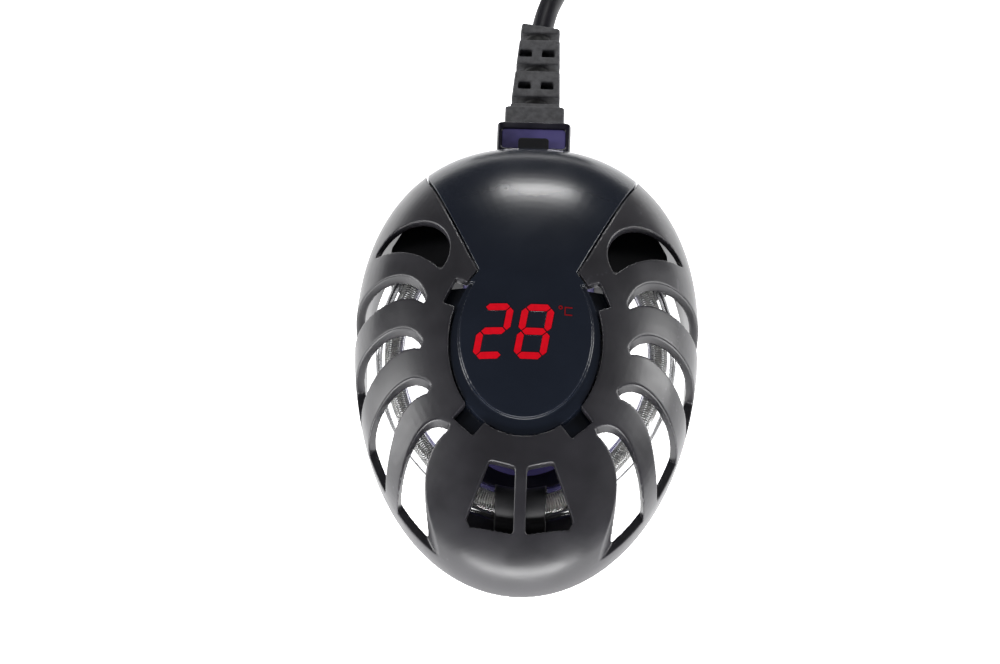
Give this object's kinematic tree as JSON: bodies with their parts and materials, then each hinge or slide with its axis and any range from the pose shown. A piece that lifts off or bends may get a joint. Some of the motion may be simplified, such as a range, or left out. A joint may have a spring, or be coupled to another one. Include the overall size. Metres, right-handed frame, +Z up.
{
  "type": "submersible aquarium heater",
  "caption": "Egg-shaped submersible aquarium heater: ribbed guard over a U-shaped quartz tube, sealed panel with a lit temperature display, suction cups, coiled mains cord and plug.",
  "frame": {"origin": "under the middle of the heater, on the surface that its suction cups stand on", "axes": "+Z up, -Y towards the nose with the display end, +Y towards the cord, +X to the right when seen from above with the cord away from the viewer"},
  "size_m": [0.1011, 0.3351, 0.041],
  "materials": {
    "guard_plastic": "satin moulded dark grey",
    "panel_plastic": "smoked navy, satin to gloss",
    "housing_plastic": "fine moulded",
    "seal_rubber": "soft matte",
    "quartz": "clear, glossy",
    "resistance_wire": "drawn wire",
    "tube_plug_ceramic": "matte pale ceramic",
    "lead_insulation": "silicone sleeve",
    "red_light": "lit red",
    "board_laminate": "lacquered laminate",
    "display_block": "matte moulded",
    "relay_case": "moulded case",
    "capacitor_case": "dipped lacquer",
    "terminal_plastic": "moulded",
    "fuse_case": "plated",
    "sensor_bead": "epoxy bead",
    "screw_steel": "stainless",
    "cup_rubber": "smooth soft rubber",
    "gland_plastic": "near black violet, glossy",
    "gland_violet": "violet, slightly translucent",
    "tongue_plastic": "satin",
    "relief_rubber": "matte grey",
    "wire_insulation": "smooth",
    "cord_rubber": "satin near black",
    "tie_rubber": "matte",
    "plug_plastic": "fine moulded",
    "pin_brass": "nickel plated"
  },
  "bodies": {
    "housing": {"housing_top": "panel_plastic", "display_digits": "red_light", "housing_seal": "seal_rubber", "housing_bottom": "housing_plastic", "rear_tongue": "tongue_plastic", "quartz_tube": "quartz", "heating_coil": "resistance_wire", "tube_plug_left": "tube_plug_ceramic", "tube_plug_right": "tube_plug_ceramic", "lead_wire_left": "lead_insulation", "lead_wire_right": "lead_insulation", "seal_block_left": "seal_rubber", "seal_block_right": "seal_rubber", "circuit_board": "board_laminate", "led_display": "display_block", "relay": "relay_case", "capacitor": "capacitor_case", "terminal_block": "terminal_plastic", "fuse": "fuse_case", "temperature_sensor": "sensor_bead", "base_frame": "housing_plastic", "base_screws": "screw_steel", "tube_holder": "seal_rubber", "gland_box": "gland_plastic", "gland_window": "gland_violet", "strain_relief": "relief_rubber", "supply_wires": "wire_insulation", "cord_lead": "cord_rubber", "cord_coil": "cord_rubber", "cord_tie": "tie_rubber", "cord_tail": "cord_rubber", "plug_body": "plug_plastic", "plug_pins": "pin_brass"},
    "guard": {"guard": "guard_plastic"},
    "front_cup": {"suction_cup_front": "cup_rubber"},
    "rear_cup": {"suction_cup_rear": "cup_rubber"}
  },
  "joints": [
    {"name": "guard_lift", "type": "slide", "parent": "housing", "child": "guard", "axis": [0, 0, 1], "range_m": [0, 0.05]},
    {"name": "front_cup_turn", "type": "hinge", "parent": "housing", "child": "front_cup", "pos_m": [0, -0.02, 0.01], "axis": [0, 0, 1], "continuous": true},
    {"name": "rear_cup_turn", "type": "hinge", "parent": "housing", "child": "rear_cup", "pos_m": [0, 0.032, 0.01], "axis": [0, 0, 1], "continuous": true}
  ]
}
